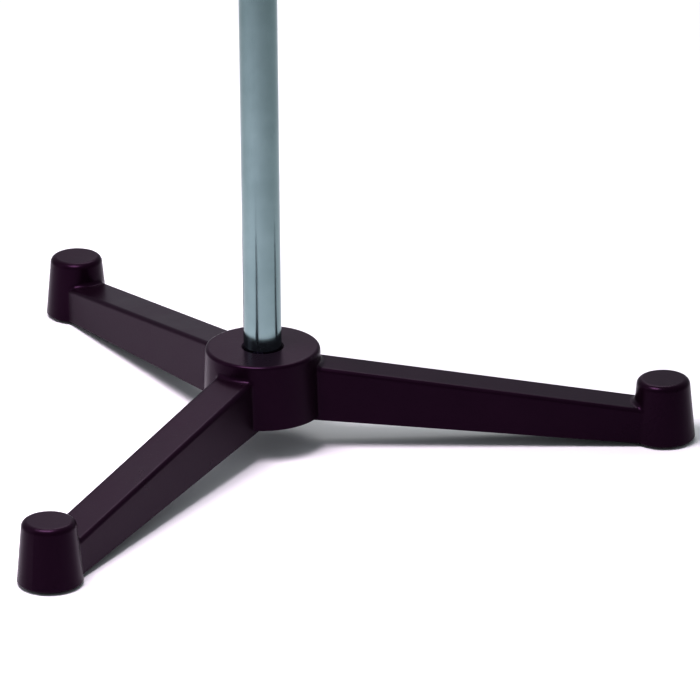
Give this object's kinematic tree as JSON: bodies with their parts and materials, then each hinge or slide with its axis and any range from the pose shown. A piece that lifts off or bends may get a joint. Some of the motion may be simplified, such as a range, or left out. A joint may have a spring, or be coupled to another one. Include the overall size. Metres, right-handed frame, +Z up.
{
  "type": "trumpet stand",
  "caption": "Free-standing trumpet stand: low cast three-leg base with a round hub, screw-in chromed upright and a ringed cone that the bell drops over.",
  "frame": {"origin": "on the floor, under the middle of the hub, level with the undersides of the rubber pads", "axes": "+Z up along the upright; +X along the first leg, with the other legs at 120 and 240 degrees"},
  "size_m": [0.2218, 0.2528, 0.2461],
  "materials": {
    "base_enamel": "satin",
    "chrome": "polished",
    "plated_steel": "satin",
    "black_plastic": "matte",
    "rubber": "matte",
    "nylon": "satin"
  },
  "bodies": {
    "base": {"base_casting": "base_enamel", "foot_pad_right": "rubber", "foot_pad_left": "rubber", "foot_pad_front": "rubber", "stud_nut": "plated_steel", "nut_cover": "black_plastic"},
    "seat_ring": {"seat_ring": "nylon"},
    "upright": {"upright_tube": "chrome", "foot_plug": "plated_steel", "spring_pin": "plated_steel", "top_plug": "plated_steel", "bell_cone": "black_plastic", "grip_ring_lower": "rubber", "grip_ring_middle": "rubber", "grip_ring_upper": "rubber", "cone_washer": "plated_steel", "lock_washer": "plated_steel", "cone_screw": "plated_steel", "cone_cap": "black_plastic"}
  },
  "joints": [
    {"name": "upright_rise", "type": "slide", "parent": "base", "child": "seat_ring", "axis": [0, 0, 1], "range_m": [0, 0.00625]},
    {"name": "upright_turn", "type": "hinge", "parent": "seat_ring", "child": "upright", "pos_m": [0, 0, 0], "axis": [0, 0, 1], "range_deg": [0, 1800]}
  ],
  "couplings": [
    {"joint": "upright_rise", "follows": "upright_turn", "m_per_rad": 0.00019894}
  ]
}
